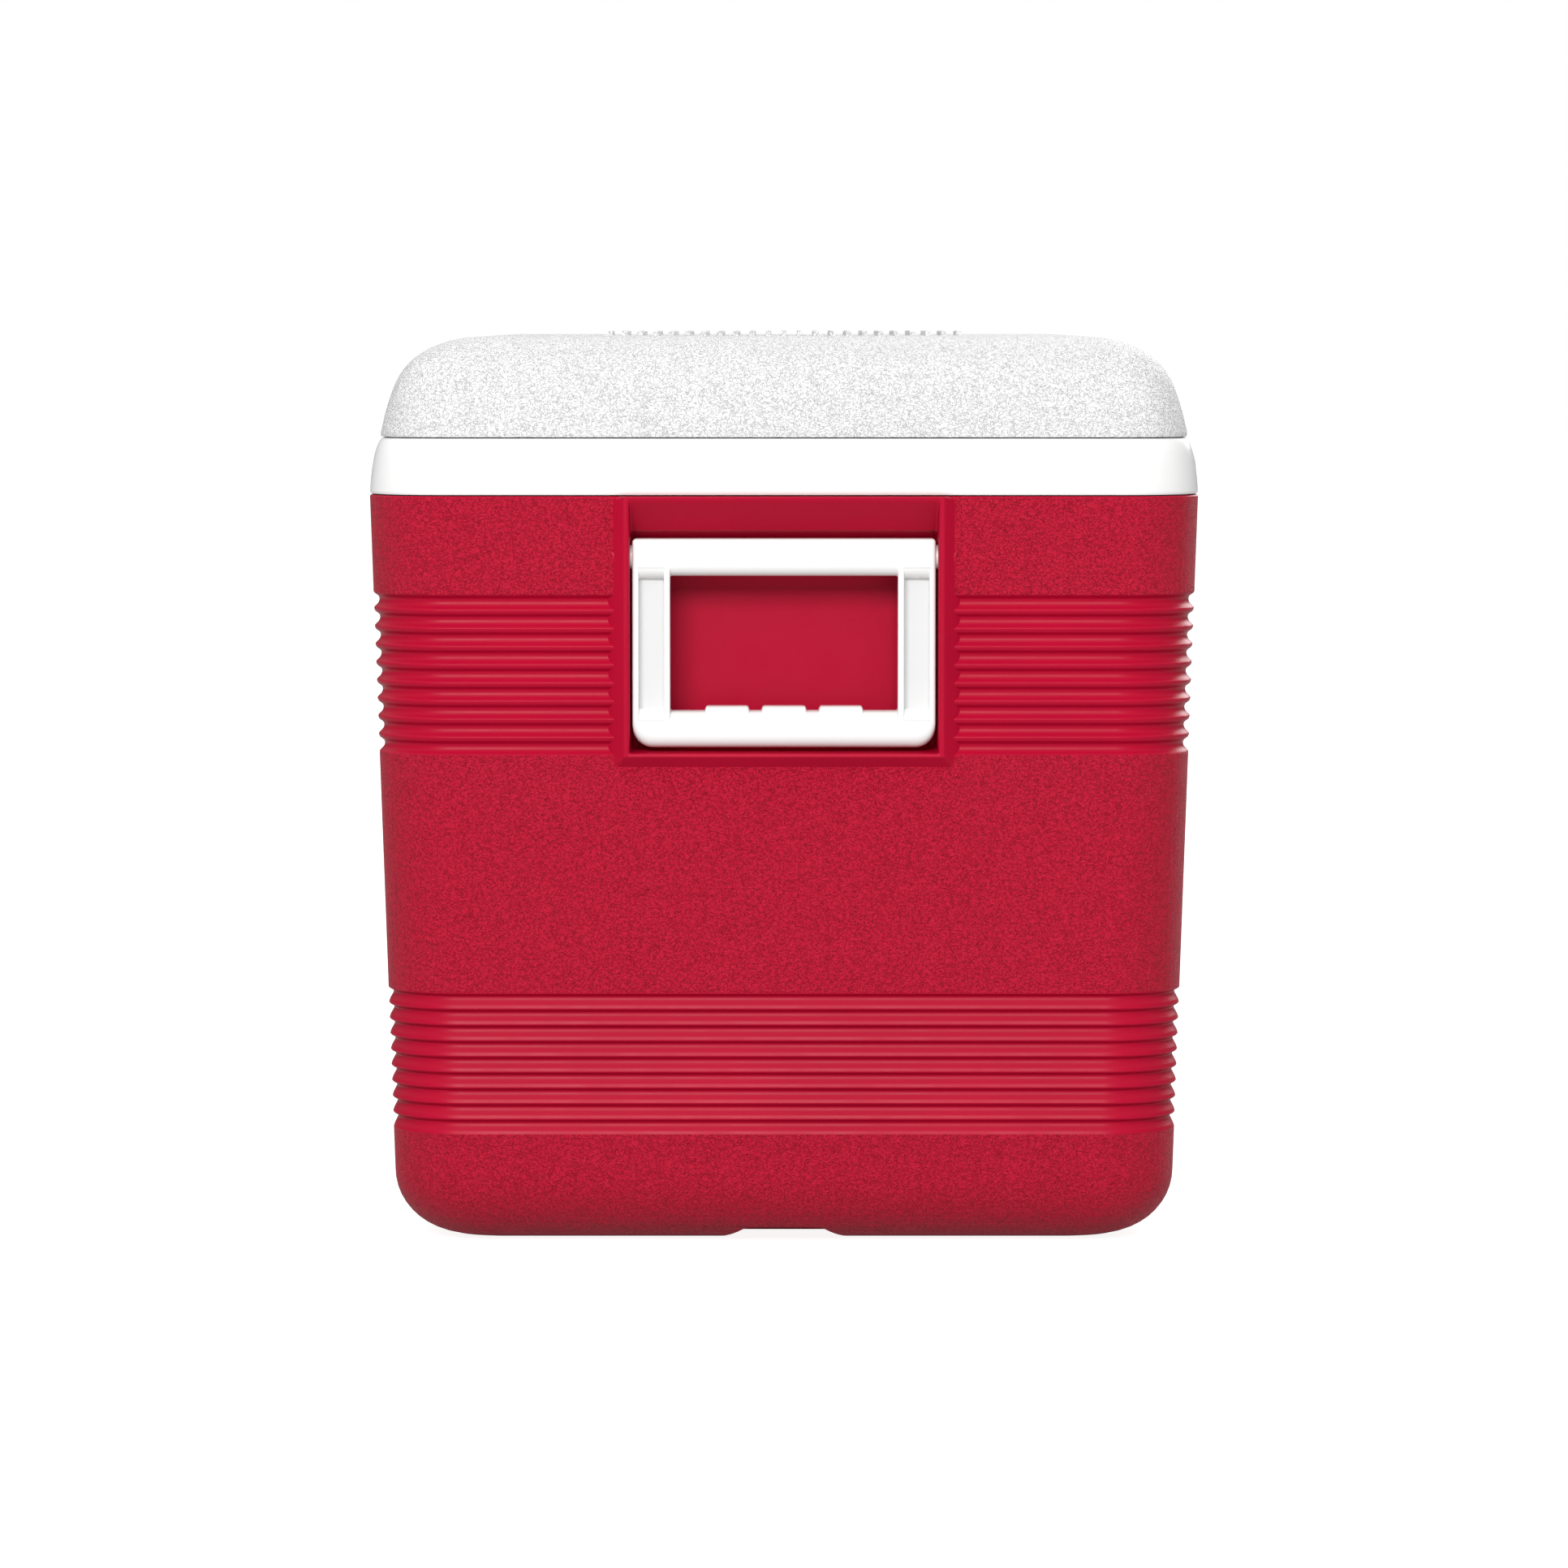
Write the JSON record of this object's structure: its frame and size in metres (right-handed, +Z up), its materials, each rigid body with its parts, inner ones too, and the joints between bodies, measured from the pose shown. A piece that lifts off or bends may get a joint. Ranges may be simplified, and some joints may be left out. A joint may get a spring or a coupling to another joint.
{
  "type": "picnic ice cooler chest",
  "caption": "Insulated cooler chest with ribbed tapered sides, hinged lid with a front lift tab, swing handles in framed end recesses and a drain plug.",
  "frame": {"origin": "centre of the flat underside, on the surface the chest rests on", "axes": "+X along the chest's length towards the drain end, +Y towards the hinges at the back, +Z up"},
  "size_m": [0.58, 0.4004, 0.4243],
  "materials": {
    "outer_tub": "red moulded plastic with a fine pebbled grain",
    "liner": "smooth white moulded plastic",
    "insulation": "rigid cream foam, hidden between the skins",
    "lid_cover": "white moulded plastic with a wrinkled grain",
    "lid_pan": "smooth white moulded plastic",
    "handle": "smooth white moulded plastic",
    "hinge": "smooth white moulded plastic",
    "steel": "plain steel",
    "drain_white": "smooth white moulded plastic",
    "seal_rubber": "black rubber"
  },
  "bodies": {
    "chest": {"body_shell": "outer_tub", "inner_liner": "liner", "body_foam": "insulation", "hinge_left_body_leaf": "hinge", "hinge_right_body_leaf": "hinge", "hinge_left_pin": "steel", "hinge_right_pin": "steel", "hinge_left_body_screw_1": "steel", "hinge_left_body_screw_2": "steel", "hinge_right_body_screw_1": "steel", "hinge_right_body_screw_2": "steel", "drain_spout": "drain_white", "drain_nut": "drain_white", "drain_gasket": "seal_rubber"},
    "lid": {"lid_shell": "lid_cover", "lid_liner": "lid_pan", "lid_foam": "insulation", "hinge_left_lid_leaf": "hinge", "hinge_right_lid_leaf": "hinge", "hinge_left_lid_screw_1": "steel", "hinge_left_lid_screw_2": "steel", "hinge_right_lid_screw_1": "steel", "hinge_right_lid_screw_2": "steel"},
    "left_handle": {"handle_left": "handle"},
    "right_handle": {"handle_right": "handle"},
    "plug": {"drain_plug": "drain_white", "drain_plug_seal": "seal_rubber"}
  },
  "joints": [
    {"name": "lid_hinge", "type": "hinge", "parent": "chest", "child": "lid", "pos_m": [0, 0.191, 0.3762], "axis": [-1, 0, 0], "range_deg": [0, 105]},
    {"name": "left_handle_swing", "type": "hinge", "parent": "chest", "child": "left_handle", "pos_m": [-0.277, 0, 0.3208], "axis": [0, 1, 0], "range_deg": [0, 135]},
    {"name": "right_handle_swing", "type": "hinge", "parent": "chest", "child": "right_handle", "pos_m": [0.277, 0, 0.3208], "axis": [0, -1, 0], "range_deg": [0, 135]},
    {"name": "drain_plug_pull", "type": "slide", "parent": "chest", "child": "plug", "axis": [1, 0, 0], "range_m": [0, 0.035]}
  ]
}
